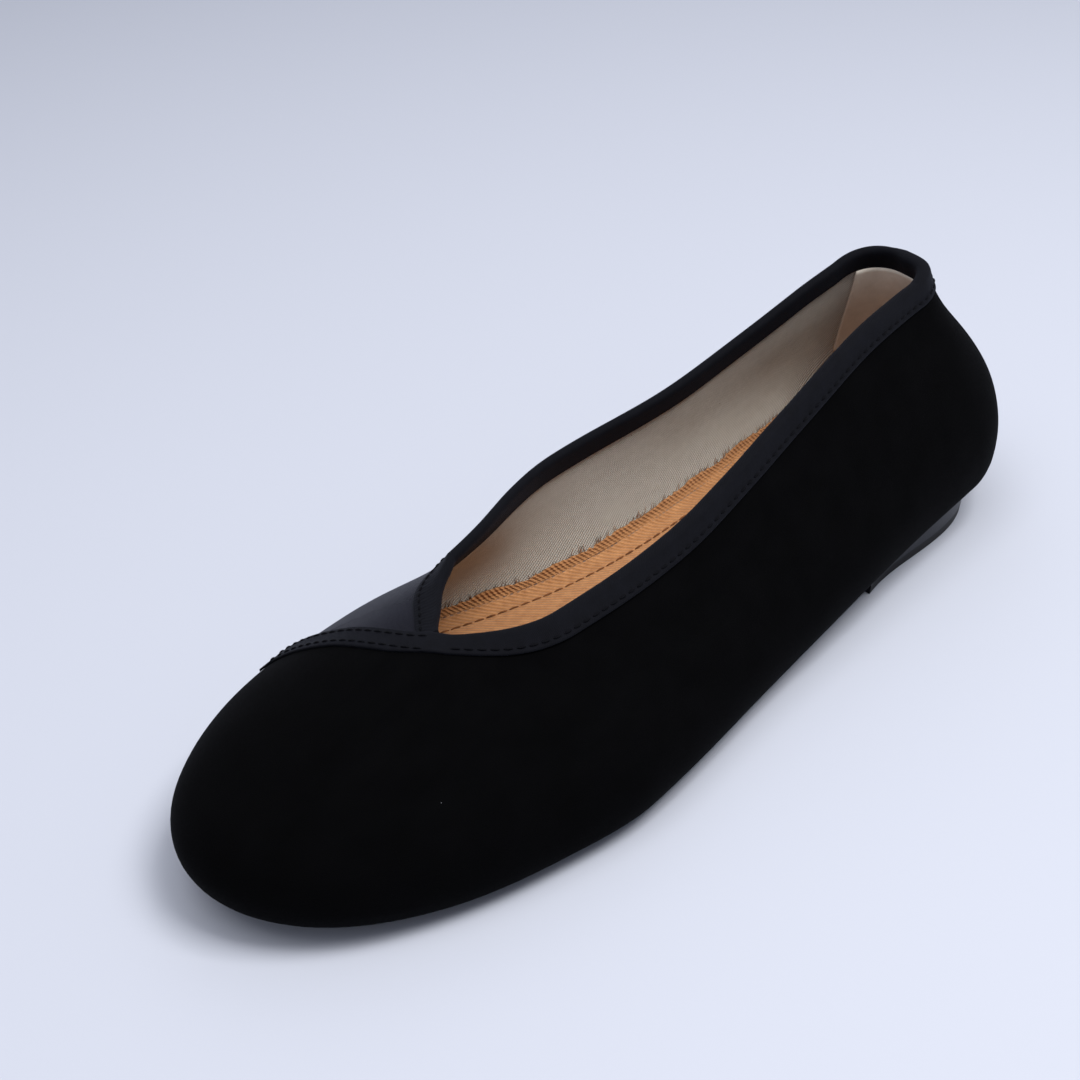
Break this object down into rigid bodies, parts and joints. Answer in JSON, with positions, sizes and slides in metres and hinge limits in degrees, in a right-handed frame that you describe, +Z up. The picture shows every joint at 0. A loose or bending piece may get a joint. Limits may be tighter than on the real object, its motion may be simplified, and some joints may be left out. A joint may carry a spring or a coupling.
{
  "type": "ballet slipper",
  "caption": "Flat slip-on ballet slipper for the left foot: velvet vamp lapped over a satin inner quarter, bound topline, low heel.",
  "frame": {"origin": "centre of the slipper's footprint box on the floor", "axes": "+X toward the toe, +Y toward the outer side of the left foot, +Z up"},
  "size_m": [0.2438, 0.0874, 0.0654],
  "materials": {
    "outsole_rubber": "matte",
    "heel_rubber": "satin",
    "top_lift_rubber": "matte",
    "nail_steel": "bright",
    "shank_steel": "satin",
    "filler_cork": "matte",
    "board_fibre": "matte",
    "foam": "matte",
    "sock_twill": "matte",
    "sock_edge": "matte",
    "sock_thread": "matte",
    "lining_twill": "matte",
    "grip_leather": "matte",
    "stiffener_board": "matte",
    "interlining_canvas": "matte",
    "backing_canvas": "matte",
    "velvet": "velvet",
    "satin": "satin",
    "binding_tape": "matte",
    "navy_thread": "satin"
  },
  "bodies": {
    "root": {"outsole": "outsole_rubber", "heel_block": "heel_rubber", "heel_top_lift": "top_lift_rubber", "heel_nails": "nail_steel", "shank": "shank_steel", "bottom_filler": "filler_cork", "insole_board": "board_fibre", "insole_foam": "foam", "sock_lining": "sock_twill", "sock_turned_edge": "sock_edge", "sock_stitches": "sock_thread", "lateral_lining": "lining_twill", "medial_lining": "lining_twill", "heel_grip_patch": "grip_leather", "heel_counter": "stiffener_board", "toe_puff": "stiffener_board", "lateral_interlining": "interlining_canvas", "medial_interlining": "interlining_canvas", "velvet_backing": "backing_canvas", "velvet_panel": "velvet", "satin_panel": "satin", "crossing_tape": "binding_tape", "lateral_binding": "binding_tape", "medial_binding": "binding_tape", "lateral_binding_stitches": "navy_thread", "medial_binding_stitches": "navy_thread", "crossing_stitches": "navy_thread"}
  },
  "joints": []
}
